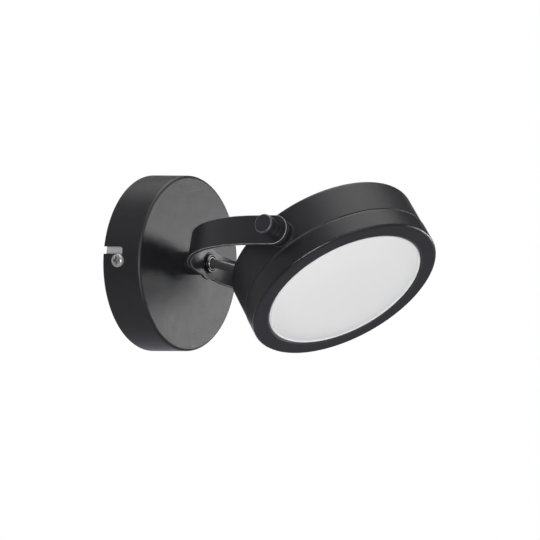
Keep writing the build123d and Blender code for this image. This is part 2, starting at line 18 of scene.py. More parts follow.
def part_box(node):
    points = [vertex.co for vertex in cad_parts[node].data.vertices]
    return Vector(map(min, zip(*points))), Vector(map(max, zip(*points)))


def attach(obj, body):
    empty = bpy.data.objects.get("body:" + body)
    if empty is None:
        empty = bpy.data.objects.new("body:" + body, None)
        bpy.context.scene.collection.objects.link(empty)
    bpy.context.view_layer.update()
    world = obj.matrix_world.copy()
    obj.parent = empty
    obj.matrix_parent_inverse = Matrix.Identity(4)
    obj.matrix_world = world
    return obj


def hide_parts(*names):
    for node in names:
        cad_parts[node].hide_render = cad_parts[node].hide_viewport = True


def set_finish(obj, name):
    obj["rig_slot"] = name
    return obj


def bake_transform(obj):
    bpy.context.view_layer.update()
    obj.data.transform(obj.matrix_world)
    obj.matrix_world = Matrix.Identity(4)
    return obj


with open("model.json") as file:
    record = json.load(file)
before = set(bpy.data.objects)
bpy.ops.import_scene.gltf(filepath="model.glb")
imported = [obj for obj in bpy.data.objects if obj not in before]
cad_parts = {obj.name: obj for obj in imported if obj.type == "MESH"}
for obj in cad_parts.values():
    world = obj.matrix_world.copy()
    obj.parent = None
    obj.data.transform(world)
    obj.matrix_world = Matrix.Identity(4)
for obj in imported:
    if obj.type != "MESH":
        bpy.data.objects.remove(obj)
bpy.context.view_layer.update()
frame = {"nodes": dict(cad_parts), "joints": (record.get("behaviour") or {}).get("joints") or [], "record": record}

scene = bpy.context.scene
scene.view_settings.view_transform = "Standard"

# %% [markdown]
# ## Directions of the lamp
# The yoke is turned on the wall axis and the head is turned down, so most pieces lie askew in the
# frame. The joints of the record already know the two axes. Unit vectors taken from them, out of the
# wall, across the yoke, up the yoke and along the beam, let every later piece be placed in plain numbers.

# %% Directions
mm = 0.001
tilt_down = math.radians(52.4)
tilt_joint = next(joint for joint in frame["joints"] if joint["name"] == "head_tilt")
out = Vector((0, -1, 0))
across = Vector(tilt_joint["axis"]).normalized()
rise = out.cross(across)
pivot = Vector(tilt_joint["pos_m"])
aim = out * math.cos(tilt_down) - rise * math.sin(tilt_down)
head_up = aim.cross(across)
print("aim", [round(v, 3) for v in aim])


def on_yoke(forward, up):
    """Point in the middle plane of the yoke, in millimetres out of the wall and up the yoke."""
    return out * (forward * mm) + rise * (up * mm)


def on_head(right, up, forward):
    """Point on the head, in millimetres from the middle of the pivot line."""
    return pivot + across * (right * mm) + head_up * (up * mm) + aim * (forward * mm)


# %% [markdown]
# ## Camera
# The picture was taken from the left, level with the lamp, with a long lens. A camera can be turned by
# hand until it looks right, but the round rims of the lamp are ellipses in the picture, and fitting
# them gives the angles directly: about 58 degrees to the left and almost no height.

# %% Camera
view_azimuth = math.radians(-58.348)
view_elevation = math.radians(0.194)
view_roll = math.radians(0.263)
view_distance = 1.150
view_right = 0.06522
view_up = -0.00386
lens_length = 134.64
sensor_width = 36.0

back = Vector((
    math.sin(view_azimuth) * math.cos(view_elevation),
    -math.cos(view_azimuth) * math.cos(view_elevation),
    math.sin(view_elevation),
))
level = Vector((math.cos(view_azimuth), math.sin(view_azimuth), 0))
upright = back.cross(level)
picture_right = level * math.cos(view_roll) + upright * math.sin(view_roll)
picture_up = upright * math.cos(view_roll) - level * math.sin(view_roll)
camera_data = bpy.data.cameras.new("camera")
camera_data.lens = lens_length
camera_data.sensor_width = sensor_width
camera = bpy.data.objects.new("camera", camera_data)
scene.collection.objects.link(camera)
turn = Matrix((picture_right, picture_up, back)).transposed().to_4x4()
place = back * view_distance + picture_right * view_right + picture_up * view_up
camera.matrix_world = Matrix.Translation(place) @ turn
scene.camera = camera
print("camera at", [round(v, 3) for v in place])

# %% [markdown]
# ## Helper for new pieces
# Almost every new piece ends the same way: its mesh is shaded, its object sits at the origin, it rides
# on a body and names the slot of its finish. One function does this, so the cells below hold only the
# shaping.

# %% Finish a piece
pieces_made = []


def finish_piece(name, bm, body, slot, smooth=True):
    """Turn a bmesh into a piece that rides on a body and takes its finish from a slot."""
    mesh = bpy.data.meshes.new(name)
    bm.to_mesh(mesh)
    bm.free()
    for face in mesh.polygons:
        face.use_smooth = smooth
    piece = bpy.data.objects.new(name, mesh)
    scene.collection.objects.link(piece)
    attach(piece, body)
    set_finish(piece, slot)
    pieces_made.append(piece)
    print(name, "has", len(mesh.polygons), "faces")
    return piece


# %% [markdown]
# ## Flex
# The flex is the black lead that leaves the nipple, dips under its own weight and turns over into the back of the
# head. On the lamp it bends when the head tilts; here the solid is replaced by a tube shaped at rest, running from
# the yoke at one end to the head at the other. A spline of third order over a few control points gives a line with
# no corners, and a round bevel makes the tube. The first two points hold it straight in the nipple, the next three
# shape the dip and the hump, and the last three lead it through the grommet.

# %% Flex
flex_radius = 2.5 * mm
flex_points = [
    on_yoke(12.5, 0.0),
    on_yoke(38.0, 0.0),
    on_yoke(43.0, -0.4),
    on_yoke(64.3, -5.4),
    on_yoke(93.2, 28.8),
    on_head(0, 0, -20.0),
    on_head(0, 0, -13.0),
    on_head(0, 0, -6.3),
]


def spline_of(name, points, radius):
    """Curve object with one smooth open spline over control points."""
    data = bpy.data.curves.new(name, "CURVE")
    data.dimensions = "3D"
    data.bevel_depth = radius
    data.bevel_resolution = 7
    data.use_fill_caps = True
    data.resolution_u = 10
    line = data.splines.new("NURBS")
    line.points.add(len(points) - 1)
    for point, spot in zip(line.points, points):
        point.co = (*spot, 1.0)
    line.order_u = 3
    line.use_endpoint_u = True
    return bpy.data.objects.new(name, data)


flex_line = spline_of("flex_line", flex_points, 0.0)
line_mesh = bpy.data.meshes.new_from_object(flex_line)
stops = [vertex.co.copy() for vertex in line_mesh.vertices]
flex_length = sum((b - a).length for a, b in zip(stops, stops[1:]))
print("flex line", round(flex_length / mm, 1), "mm long")

# %% Flex tube
flex_curve = spline_of("flex_curve", flex_points, flex_radius)
flex_mesh = bpy.data.meshes.new_from_object(flex_curve)
flex_mesh.name = "flex_sheath"
flex_sheath = bpy.data.objects.new("flex_sheath", flex_mesh)
scene.collection.objects.link(flex_sheath)
for face in flex_mesh.polygons:
    face.use_smooth = len(face.vertices) == 4
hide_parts("flex")
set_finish(flex_sheath, "black_flex")
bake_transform(flex_sheath)
pieces_made.append(flex_sheath)
for spare in (flex_line, flex_curve):
    bpy.data.objects.remove(spare)
print("flex tube has", len(flex_mesh.polygons), "faces")

# %% [markdown]
# ## Nipple with its thread
# The hollow nipple is a plain tube in the drawing. The real one is a threaded tube, and the thread
# shows at its tip and behind the rear nut. Here a ring is spun for the tube, and a small triangle is
# spun with a step along the axis, which makes a true helix in one operator.

# %% Turned and threaded shapes
ring_steps = 48
thread_steps = 24
ridge_top = 0.45
ridge_width = 0.9
nearly_upright = 0.9


def square_to(axis):
    """Unit vector square to an axis."""
    other = Vector((0, 0, 1)) if abs(axis.z) < nearly_upright else Vector((1, 0, 0))
    return (other - axis * other.dot(axis)).normalized()


def outline(bm, origin, axis, profile, closed=True):
    """Wire of (radius, height) points in millimetres, in a plane through the axis."""
    arm = square_to(axis)
    corners = [bm.verts.new(origin + arm * (r * mm) + axis * (h * mm)) for r, h in profile]
    ends = corners[1:] + corners[:1] if closed else corners[1:]
    edges = [bm.edges.new(pair) for pair in zip(corners, ends)]
    return corners, edges


def spin_ring(bm, origin, axis, profile, steps=ring_steps, closed=True):
    """Spin an outline all the way round an axis."""
    corners, edges = outline(bm, origin, axis, profile, closed)
    bmesh.ops.spin(bm, geom=corners + edges, cent=origin, axis=axis, dvec=(0, 0, 0),
                   angle=2 * math.pi, steps=steps, use_merge=True)


def spin_thread(bm, origin, axis, radius, depth, pitch, length):
    """Spin a triangular ridge up an axis: a thread of one start, all sizes in millimetres."""
    root = radius - depth
    ridge = [(root, 0.0), (radius, pitch * ridge_top), (root, pitch * ridge_width)]
    corners, edges = outline(bm, origin, axis, ridge)
    bm.faces.new(corners)
    turns = (length - pitch) / pitch
    moved = bmesh.ops.spin(bm, geom=corners + edges, cent=origin, axis=axis,
                           dvec=axis * (pitch * mm / thread_steps), angle=2 * math.pi * turns,
                           steps=max(3, round(thread_steps * turns)))
    bm.faces.new([item for item in moved["geom_last"] if isinstance(item, bmesh.types.BMVert)])


# %% Nipple
nipple_low, nipple_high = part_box("nipple")
nipple_back = -nipple_high.y / mm
nipple_front = -nipple_low.y / mm
nipple_bore = 3.0
nipple_mouth = 3.25
nipple_lip = 3.5
nipple_core = 3.65
bore_chamfer = 0.3
core_chamfer = 0.2
thread_length = nipple_front - nipple_back - 2 * core_chamfer
bm = bmesh.new()
spin_ring(bm, Vector((0, 0, 0)), out, [
    (nipple_bore, nipple_back + bore_chamfer),
    (nipple_mouth, nipple_back),
    (nipple_lip, nipple_back),
    (nipple_core, nipple_back + core_chamfer),
    (nipple_core, nipple_front - core_chamfer),
    (nipple_lip, nipple_front),
    (nipple_mouth, nipple_front),
    (nipple_bore, nipple_front - bore_chamfer),
])
thread_start = out * ((nipple_back + core_chamfer) * mm)
spin_thread(bm, thread_start, out, radius=4.0, depth=0.4, pitch=1.0, length=thread_length)
bmesh.ops.recalc_face_normals(bm, faces=bm.faces)
nipple_tube = finish_piece("threaded_nipple", bm, "base", "bright_steel")
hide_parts("nipple")

# %% [markdown]
# ## Screw tips, block sleeves and the lug's barrel
# From behind, the open canopy shows the tips of its two screws, the brass sleeves in the terminal block
# and the crimped barrel that holds the earth core. They are small turned shapes, so the same two spin
# helpers make them all.

# %% Screw tips
tip_gap = 0.2 * mm
for side, away in (("left", Vector((-1, 0, 0))), ("right", Vector((1, 0, 0)))):
    screw_low, screw_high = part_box(f"{side}_canopy_screw")
    screw_middle = (screw_low + screw_high) / 2
    tip = min(abs(screw_low.x), abs(screw_high.x))
    tip_place = Vector((away.x * tip, screw_middle.y, screw_middle.z))
    bm = bmesh.new()
    spin_thread(bm, tip_place + away * tip_gap, away, radius=1.79, depth=0.25, pitch=0.6, length=3.0)
    bmesh.ops.recalc_face_normals(bm, faces=bm.faces)
    finish_piece(f"{side}_screw_thread", bm, "base", "bright_steel")

# %% Terminal sleeves
block_low, block_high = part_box("terminal_block")
block_length = (block_high.x - block_low.x) / mm
pole_level = -6.5 * mm
pole_offset = 5.0 * mm
sleeve_bore = 1.15
sleeve_radius = 1.45
sleeve_inset = 0.5
bm = bmesh.new()
for pole in (-pole_offset, pole_offset):
    spin_ring(bm, Vector((block_low.x, pole_level, pole)), Vector((1, 0, 0)), [
        (sleeve_bore, sleeve_inset),
        (sleeve_radius, sleeve_inset),
        (sleeve_radius, block_length - sleeve_inset),
        (sleeve_bore, block_length - sleeve_inset),
    ])
bmesh.ops.recalc_face_normals(bm, faces=bm.faces)
finish_piece("terminal_sleeves", bm, "base", "brass_screw")

# %% Lug barrel
lug_low, lug_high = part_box("earth_lug")
barrel_bore = 0.85
barrel_end = 1.5
barrel_radius = 1.6
crimp_radius = 1.35
barrel_length = 3.2
barrel_chamfer = 0.3
barrel_lift = 0.8 * mm
barrel_drop = 4.0 * mm
barrel_place = Vector((0, lug_low.y - barrel_lift, lug_high.z - barrel_drop))
bm = bmesh.new()
spin_ring(bm, barrel_place, Vector((0, 0, 1)), [
    (barrel_bore, 0.0),
    (barrel_end, 0.0),
    (barrel_radius, barrel_chamfer),
    (crimp_radius, barrel_length / 2),
    (barrel_radius, barrel_length - barrel_chamfer),
    (barrel_end, barrel_length),
    (barrel_bore, barrel_length),
])
bmesh.ops.recalc_face_normals(bm, faces=bm.faces)
finish_piece("lug_barrel", bm, "base", "brass_screw")

# %% [markdown]
# ## Opal front
# The milky front is a moulded sheet. It is nearly flat in the middle, falls away softly near the edge,
# which darkens the side that faces down, and ends in a fine bead against the ring. The line from the
# middle to the edge is a power curve with its points set closer towards the edge, and the bead is an
# arc. The whole line is spun about the axis of the head, and the points on the axis are merged.

# %% Opal front
opal_edge = 18.45
opal_fall = 2.4
opal_middle = opal_edge + opal_fall
fall_power = 7
opal_reach = 43.3
opal_steps = 18
bead_reach = 43.81
bead_radius = 0.5
bead_height = 18.42
bead_from = 150
bead_step = 30
opal_rear = 15.6
opal_rim = 17.97
rim_reach = 46.9
opal_line = []
for step in range(opal_steps + 1):
    share = math.sin(math.pi / 2 * step / opal_steps)
    opal_line.append((opal_reach * share, opal_middle - opal_fall * share**fall_power))
for degrees in range(bead_from, -1, -bead_step):
    angle = math.radians(degrees)
    aside = bead_reach + bead_radius * math.cos(angle)
    ahead = bead_height + bead_radius * math.sin(angle)
    opal_line.append((aside, ahead))
opal_line += [
    (bead_reach + bead_radius, opal_rim), (rim_reach, opal_rim), (rim_reach, opal_rear), (0.0, opal_rear),
]
bm = bmesh.new()
spin_ring(bm, pivot, aim, opal_line, steps=3 * ring_steps, closed=False)
bmesh.ops.remove_doubles(bm, verts=bm.verts, dist=0.01 * mm)
bmesh.ops.recalc_face_normals(bm, faces=bm.faces)
opal_front = finish_piece("opal_front", bm, "head", "opal")
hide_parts("diffuser")

# %% [markdown]
# ## Light chips
# Behind the opal front sits a white board with rings of small light chips. Each one is a tiny white
# block with a yellow window. A cube with its top face inset gives both, and a loop repeats it round
# each ring.

# %% Light chips
chip_width = 2.8
chip_length = 3.5
chip_height = 0.8
chip_rings = ((10.0, 6), (20.0, 12), (29.5, 18), (41.0, 24))
window_border = 0.35 * mm
window_depth = 0.1 * mm
board_front = 3.6
bm = bmesh.new()
head_turn = Matrix((across, head_up, aim)).transposed().to_4x4()
scale = Matrix.Diagonal((chip_length * mm, chip_width * mm, chip_height * mm, 1))
for radius, count in chip_rings:
    for number in range(count):
        angle = 2 * math.pi * (number + 0.5) / count
        spot = on_head(radius * math.cos(angle), radius * math.sin(angle), board_front + chip_height / 2)
        shape = Matrix.Translation(spot) @ head_turn @ Matrix.Rotation(angle, 4, "Z") @ scale
        made = bmesh.ops.create_cube(bm, size=1.0, matrix=shape)
        bm.normal_update()
        faces = {face for vert in made["verts"] for face in vert.link_faces}
        window = max(faces, key=lambda face: face.calc_center_median().dot(aim))
        bmesh.ops.inset_individual(bm, faces=[window], thickness=window_border, depth=-window_depth)
        window.material_index = 1
light_chips = finish_piece("light_chips", bm, "head", "white_board", smooth=False)

# %% [markdown]
# ## Node helpers
# Each finish is a small node tree. Writing every link by hand hides the idea, so one function places a
# node, sets its values and links any socket that is given as a value. Small helpers on top of it give
# what comes back often: a sum, a fade, a noise, the place on the piece and a mixed colour.


# %% Node helpers
def put(tree, kind, inputs=None, **settings):
    """Add a node, set its options, then set or link its inputs."""
    made = tree.nodes.new(kind)
    for name, value in settings.items():
        setattr(made, name, value)
    for name, value in (inputs or {}).items():
        if isinstance(value, bpy.types.NodeSocket):
            tree.links.new(value, made.inputs[name])
        else:
            made.inputs[name].default_value = value
    return made


def maths(tree, operation, *values, clamp=False):
    """Number worked out from sockets or plain numbers, as a socket."""
    inputs = dict(enumerate(values))
    return put(tree, "ShaderNodeMath", inputs, operation=operation, use_clamp=clamp).outputs[0]


def fading(tree, value, low, high, **settings):
    """Number that goes from 0 to 1 while a value goes from low to high, as a socket."""
    inputs = {"Value": value, "From Min": low, "From Max": high}
    return put(tree, "ShaderNodeMapRange", inputs, **settings).outputs["Result"]


def noise(tree, where, scale, detail):
    """Noise over a place, as a socket."""
    inputs = {"Vector": where, "Scale": scale, "Detail": detail}
    return put(tree, "ShaderNodeTexNoise", inputs).outputs["Fac"]


def own_place(tree):
    """Place on the piece in its own coordinates, as a socket."""
    return put(tree, "ShaderNodeTexCoord").outputs["Object"]


def mix_colour(tree, factor, first, second):
    """Colour between two colours, as a socket."""
    node = put(tree, "ShaderNodeMix", {"Factor": factor}, data_type="RGBA")
    for place, value in (("A", first), ("B", second)):
        socket = next(s for s in node.inputs if s.name == place and s.type == "RGBA")
        if isinstance(value, bpy.types.NodeSocket):
            tree.links.new(value, socket)
        else:
            socket.default_value = (*value, 1.0)
    return next(s for s in node.outputs if s.type == "RGBA")


def new_finish(name):
    """Material with a Principled shader, and its tree."""
    made = bpy.data.materials.new(name)
    made.use_nodes = True
    return made, made.node_tree, made.node_tree.nodes["Principled BSDF"]


# %% [markdown]
# ## Shared effects
# Four effects come back in many finishes. Fine grain gives a coat or a moulding its tiny unevenness.
# The edge group finds sharp edges with the Bevel node and rounds their shading so that they catch a thin line of
# light; its mask pales the colour of the edges, which is painted highlight broken into patches like wear. Recess
# shade finds the slots and corners and puts out a mask that darkens them, which is painted shade. Turning marks
# are the faint rings on lathe work. Each is a node group, built once, that takes numbers and puts out what changes
# over the surface.


# %% Groups
def new_group(name, **inputs):
    """Shader node group with named number inputs, and its tree and inputs."""
    tree = bpy.data.node_groups.new(name, "ShaderNodeTree")
    for label, value in inputs.items():
        socket = tree.interface.new_socket(label, in_out="INPUT", socket_type="NodeSocketFloat")
        socket.default_value = value
    return tree, put(tree, "NodeGroupInput").outputs


def put_out(tree, **results):
    """Give a group its outputs, each of the kind of the socket that feeds it."""
    for label, socket in results.items():
        kind = "NodeSocketVector" if socket.type == "VECTOR" else "NodeSocketFloat"
        tree.interface.new_socket(label, in_out="OUTPUT", socket_type=kind)
    put(tree, "NodeGroupOutput", results)
    print("group", tree.name, "gives", ", ".join(results))


# %% Fine grain
coarse_share = 0.03
grain, given = new_group("fine_grain", Scale=1500.0)
where = own_place(grain)
fine = noise(grain, where, given["Scale"], 2.0)
coarse = noise(grain, where, maths(grain, "MULTIPLY", given["Scale"], coarse_share), 3.0)
shift = maths(grain, "SUBTRACT", maths(grain, "ADD", fine, coarse), 1.0)
put_out(grain, Height=fine, Shift=shift, Tone=coarse)

# %% Edge sheen and wear
patch_scale = 260.0
patch_low = 0.1
patch_high = 0.55
# The Mask pales the colour of sharp edges in the finishes: painted highlight, broken into patches like wear.
edge, given = new_group("edge_sheen_and_wear", Radius=0.4 * mm, Gain=6.0)
rounded = put(edge, "ShaderNodeBevel", {"Radius": given["Radius"]}, samples=8).outputs["Normal"]
plain_normal = put(edge, "ShaderNodeNewGeometry").outputs["Normal"]
agree = put(edge, "ShaderNodeVectorMath", {0: rounded, 1: plain_normal}, operation="DOT_PRODUCT")
differ = maths(edge, "SUBTRACT", 1.0, agree.outputs["Value"])
strong = maths(edge, "MULTIPLY", differ, given["Gain"], clamp=True)
broken = fading(edge, noise(edge, own_place(edge), patch_scale, 4.0), patch_low, patch_high)
put_out(edge, Normal=rounded, Mask=maths(edge, "MULTIPLY", strong, broken))

# %% Recess shade
open_sky = 0.85
closed_sky = 0.45
recess, given = new_group("recess_shade", Reach=1.5 * mm)
# Occlusion makes a mask that darkens slots and corners: painted shade.
sky = put(recess, "ShaderNodeAmbientOcclusion", {"Distance": given["Reach"]}, samples=8).outputs["AO"]
put_out(recess, Mask=fading(recess, sky, open_sky, closed_sky))

# %% Turning marks
haze_scale = 350.0
marks, given = new_group("turning_marks", Scale=900.0)
where = own_place(marks)
ring_inputs = {"Vector": where, "Scale": given["Scale"], "Distortion": 1.2, "Detail": 2.0}
rings = put(marks, "ShaderNodeTexWave", ring_inputs, wave_type="RINGS", rings_direction="Y")
haze = maths(marks, "SUBTRACT", noise(marks, where, haze_scale, 3.0), 0.5)
put_out(marks, Height=rings.outputs["Fac"], Shift=haze)

# %% [markdown]
# ## Helpers for finishes
# Every finish makes the same few moves: it places a shared effect with its own values, lets a value
# swing round a middle, lays a fine relief on the normal, and takes a darker or lighter shade of a
# colour. Values that are the same all over go straight on the shader, and only what changes over the
# surface is linked. A dictionary keeps every finish under its name.

# %% Helpers for finishes
finish = {}


def effect(tree, group, **values):
    """Place a shared effect with its own values."""
    made = put(tree, "ShaderNodeGroup", node_tree=group)
    for name, value in values.items():
        made.inputs[name].default_value = value
    return made.outputs


def around(tree, middle, shift, spread):
    """Value that varies round a middle by a shift."""
    return maths(tree, "MULTIPLY_ADD", shift, spread, middle, clamp=True)


def bumped(tree, height, strength, distance, normal=None):
    """Normal with a fine relief on it."""
    inputs = {"Height": height, "Strength": strength, "Distance": distance}
    if normal is not None:
        inputs["Normal"] = normal
    return put(tree, "ShaderNodeBump", inputs).outputs["Normal"]


def shade(colour, share):
    """Darker or lighter shade of a colour, no brighter than white."""
    return tuple(min(1.0, part * share) for part in colour)


def grey(level):
    """Neutral colour of one level."""
    return (level, level, level)


# %% [markdown]
# ## Satin black coats
# Canopy, head, yoke and thumb screws carry a satin black coat with a fine grain. Their edges are painted paler,
# which is painted highlight with some wear. One function makes them all, so that the coats differ in their numbers
# and not in their code. The front edge of the ring is where a hand takes hold of the head, so its coat is rubbed
# smoother and shows a thin line of light. That edge could be picked by hand, but two measures find it exactly: how
# far a place lies from the axis of the head, and how far ahead along the beam.

# %% Rubbed edge of the ring
ring_reach = 53.8 * mm
ring_ahead = 19.2 * mm
ring_round = 1.2 * mm
full_at = 0.8 * ring_round
rubbed_gain = 0.22


def front_edge(tree):
    """Mask of the rounded front edge of the ring."""
    offset = put(tree, "ShaderNodeVectorMath", {0: own_place(tree), 1: pivot}, operation="SUBTRACT")
    pair = {0: offset.outputs["Vector"], 1: aim}
    ahead = put(tree, "ShaderNodeVectorMath", pair, operation="DOT_PRODUCT")
    aside = put(tree, "ShaderNodeVectorMath", pair, operation="CROSS_PRODUCT")
    reach = put(tree, "ShaderNodeVectorMath", {0: aside.outputs["Vector"]}, operation="LENGTH")
    outer = fading(tree, reach.outputs["Value"], ring_reach - ring_round, ring_reach - full_at)
    front = fading(tree, ahead.outputs["Value"], ring_ahead - ring_round, ring_ahead - full_at)
    return maths(tree, "MULTIPLY", outer, front)


print("ring edge at", round(ring_reach / mm, 1), "mm from the axis")

# %% Satin black coats
coat_depth = 0.3 * mm
coat_swing = 0.12
coat_dark = 0.85
coat_light = 1.15


def painted(name, colour, highlight_and_wear, rough, relief, edge_radius, grain_scale=4200.0, rubbed=None):
    """Satin coat with a fine grain, edges painted paler as highlight and wear, smoother where it is rubbed."""
    made, tree, shader = new_finish(name)
    grainy = effect(tree, grain, Scale=grain_scale)
    edges = effect(tree, edge, Radius=edge_radius, Gain=6.0)
    tone = mix_colour(tree, grainy["Tone"], shade(colour, coat_dark), shade(colour, coat_light))
    # Paler colour along the edges: painted highlight with some wear.
    coat = mix_colour(tree, edges["Mask"], tone, highlight_and_wear)
    tree.links.new(coat, shader.inputs["Base Color"])
    dullness = around(tree, rough, grainy["Shift"], coat_swing)
    if rubbed is not None:
        dullness = around(tree, dullness, rubbed(tree), -rubbed_gain)
    tree.links.new(dullness, shader.inputs["Roughness"])
    relief_normal = bumped(tree, grainy["Height"], relief, coat_depth, edges["Normal"])
    tree.links.new(relief_normal, shader.inputs["Normal"])
    finish[name] = made


# The second colour of each coat pales its edges: painted highlight with some wear; on the strap and the knob it is
# so pale that it is chiefly painted highlight.
satin = (0.0115, 0.0116, 0.0138)
painted("satin_black", satin, (0.03, 0.03, 0.034), rough=0.41, relief=0.32, edge_radius=0.5 * mm)
painted("strap_black", satin, (0.50, 0.50, 0.51), rough=0.36, relief=0.2, edge_radius=0.7 * mm)
painted("bezel_black", satin, grey(0.15), rough=0.36, relief=0.2, edge_radius=ring_round, rubbed=front_edge)
# A darker, duller copy of the satin coat for the collars and washers between arms and head: painted shade.
painted("shaded_collar_black", (0.006, 0.006, 0.007), (0.008, 0.008, 0.009), rough=0.55, relief=0.2,
        edge_radius=0.2 * mm)
painted("knob_black", (0.014, 0.014, 0.017), grey(0.85), rough=0.30, relief=0.06, edge_radius=0.35 * mm,
        grain_scale=2600.0)
print("finishes", *finish)

# %% [markdown]
# ## Plated metals
# Bracket, screws, nuts and washers are turned or stamped metal. They show faint rings from the lathe, edges
# painted paler as highlight with wear, and slots darkened as painted shade. A thin zinc plate is dull and pale and
# hardly mirrors, so it takes little of the metal share, while brass and nickel take all of it.

# %% Plated metals
turned_depth = 0.05 * mm
edge_highlight_share = 1.25
recess_shade_share = 0.12


def plated(name, colour, rough, spread=0.2, relief=0.03, edge_radius=0.2 * mm, metal=1.0):
    """Bright metal with faint rings, edges painted paler as highlight and wear, and recesses darkened as painted
    shade.
    """
    made, tree, shader = new_finish(name)
    turned = effect(tree, marks, Scale=900.0)
    edges = effect(tree, edge, Radius=edge_radius, Gain=4.0)
    recess_shade_mask = effect(tree, recess, Reach=1.5 * mm)
    # Paler edges here are painted highlight with wear, and darker recesses are painted shade.
    tint = mix_colour(tree, edges["Mask"], colour, shade(colour, edge_highlight_share))
    tint = mix_colour(tree, recess_shade_mask["Mask"], tint, shade(colour, recess_shade_share))
    tree.links.new(tint, shader.inputs["Base Color"])
    shader.inputs["Metallic"].default_value = metal
    tree.links.new(around(tree, rough, turned["Shift"], spread), shader.inputs["Roughness"])
    relief_normal = bumped(tree, turned["Height"], relief, turned_depth, edges["Normal"])
    tree.links.new(relief_normal, shader.inputs["Normal"])
    finish[name] = made


plated("zinc_plate", (0.59, 0.59, 0.63), rough=0.5, spread=0.25, relief=0.02, edge_radius=0.3 * mm,
       metal=0.15)
plated("bright_steel", (0.47, 0.466, 0.455), rough=0.20, metal=0.5)
plated("dull_nickel", grey(0.05), rough=0.30, edge_radius=0.3 * mm)
plated("dark_steel", (0.06, 0.06, 0.063), rough=0.4)
plated("brass_screw", (0.70, 0.50, 0.22), rough=0.3)
print("finishes", *finish)

# %% [markdown]
# ## Plastics and rubber
# The terminal block, the cores, the flex and the swivel washer are moulded or drawn plastic: an even
# colour with a slight mottle. The earth core has two colours, and a wave with a hard step gives its
# stripes.

# %% Plastics and rubber
mould_grain = 1800.0
mould_depth = 0.1 * mm
mould_swing = 0.15
mould_dark = 0.92
mould_light = 1.06
stripe_scale = 190.0
stripe_start = 0.45
stripe_full = 0.55


def moulded(name, colour, rough, relief, stripe=None):
    """Plastic or rubber with a slight mottle, and a second colour in stripes where one is given."""
    made, tree, shader = new_finish(name)
    grainy = effect(tree, grain, Scale=mould_grain)
    base = mix_colour(tree, grainy["Tone"], shade(colour, mould_dark), shade(colour, mould_light))
    if stripe:
        wave_inputs = {"Vector": own_place(tree), "Scale": stripe_scale}
        bands = put(tree, "ShaderNodeTexWave", wave_inputs, bands_direction="DIAGONAL")
        striped = fading(tree, bands.outputs["Fac"], stripe_start, stripe_full)
        base = mix_colour(tree, striped, base, stripe)
    tree.links.new(base, shader.inputs["Base Color"])
    tree.links.new(around(tree, rough, grainy["Shift"], mould_swing), shader.inputs["Roughness"])
    edges = effect(tree, edge, Radius=0.3 * mm, Gain=3.0)
    relief_normal = bumped(tree, grainy["Height"], relief, mould_depth, edges["Normal"])
    tree.links.new(relief_normal, shader.inputs["Normal"])
    finish[name] = made


moulded("black_nylon", grey(0.02), rough=0.5, relief=0.1)
moulded("white_plastic", (0.78, 0.78, 0.75), rough=0.45, relief=0.06)
moulded("white_board", (0.82, 0.82, 0.80), rough=0.4, relief=0.03)
moulded("brown_core", (0.16, 0.06, 0.025), rough=0.42, relief=0.05)
moulded("blue_core", (0.02, 0.10, 0.38), rough=0.42, relief=0.05)
moulded("green_core", (0.04, 0.26, 0.05), rough=0.42, relief=0.05, stripe=(0.72, 0.62, 0.03))
moulded("black_flex", (0.050, 0.050, 0.052), rough=0.20, relief=0.02)
moulded("black_rubber", grey(0.018), rough=0.65, relief=0.2)
moulded("chip_window", (0.82, 0.60, 0.10), rough=0.35, relief=0.02)
print("finishes", *finish)

# %% [markdown]
# ## Opal sheet
# The opal front is milky plastic. Its colour is painted a touch greyer near its edge, a painted shade that fades
# in with the distance from the middle.

# %% Opal sheet
fade_from = 30.0 * mm
fade_to = 44.5 * mm
opal_white = grey(0.90)
edge_shade_white = grey(0.86)
opal_rough = 0.4
opal_swing = 0.1
opal_relief = 0.02
opal_low, opal_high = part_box("diffuser")
finish["opal"], tree, shader = new_finish("opal")
apart = {0: own_place(tree), 1: (opal_low + opal_high) / 2}
reach = put(tree, "ShaderNodeVectorMath", apart, operation="DISTANCE").outputs["Value"]
# Colour greyer towards the edge: painted shade.
fade = fading(tree, reach, fade_from, fade_to, interpolation_type="SMOOTHSTEP")
tree.links.new(mix_colour(tree, fade, opal_white, edge_shade_white), shader.inputs["Base Color"])
grainy = effect(tree, grain, Scale=mould_grain)
tree.links.new(around(tree, opal_rough, grainy["Shift"], opal_swing), shader.inputs["Roughness"])
tree.links.new(bumped(tree, grainy["Height"], opal_relief, mould_depth), shader.inputs["Normal"])
print("opal sheet fades from", round(fade_from / mm, 1), "mm")

# %% [markdown]
# ## One finish for each slot
# The record names the slot of every node, and each slot has a finish of the same name. A few nodes look different
# from the rest of their slot and get a finish of their own: the strap of the yoke with its edges painted pale as
# highlight, the ring, the dull front nut, and the collars and washers between arms and head, painted darker as
# shade.

# %% Finishes by slot
own_finish = {"yoke": "strap_black", "front_bezel": "bezel_black", "front_nut": "dull_nickel"}
# Collars and washers between arms and head take the darker coat: painted shade.
for side in ("left", "right"):
    own_finish[f"{side}_collar"] = "shaded_collar_black"
    own_finish[f"{side}_tilt_washer"] = "shaded_collar_black"
slot_of = {row["node"]: row["material_slot"] for row in frame["record"]["subparts"]}
for name, node in frame["nodes"].items():
    node.data.materials.clear()
    node.data.materials.append(finish[own_finish.get(name, slot_of[name])])
for piece in pieces_made:
    piece.data.materials.append(finish[piece["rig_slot"]])
light_chips.data.materials.append(finish["chip_window"])
print("finishes", len(finish), "pieces", len(pieces_made))

# %% [markdown]
# ## Studio
# The picture has a white ground, one large soft light on the right that brightens the front of the
# canopy, and a dim side towards the camera, which keeps the black paint black. A world that is white
# to the camera and in reflections gives the ground, while the light that it sheds stays lower. Grey
# cards stand where the real room was dim: the camera does not see them, but the paint does.

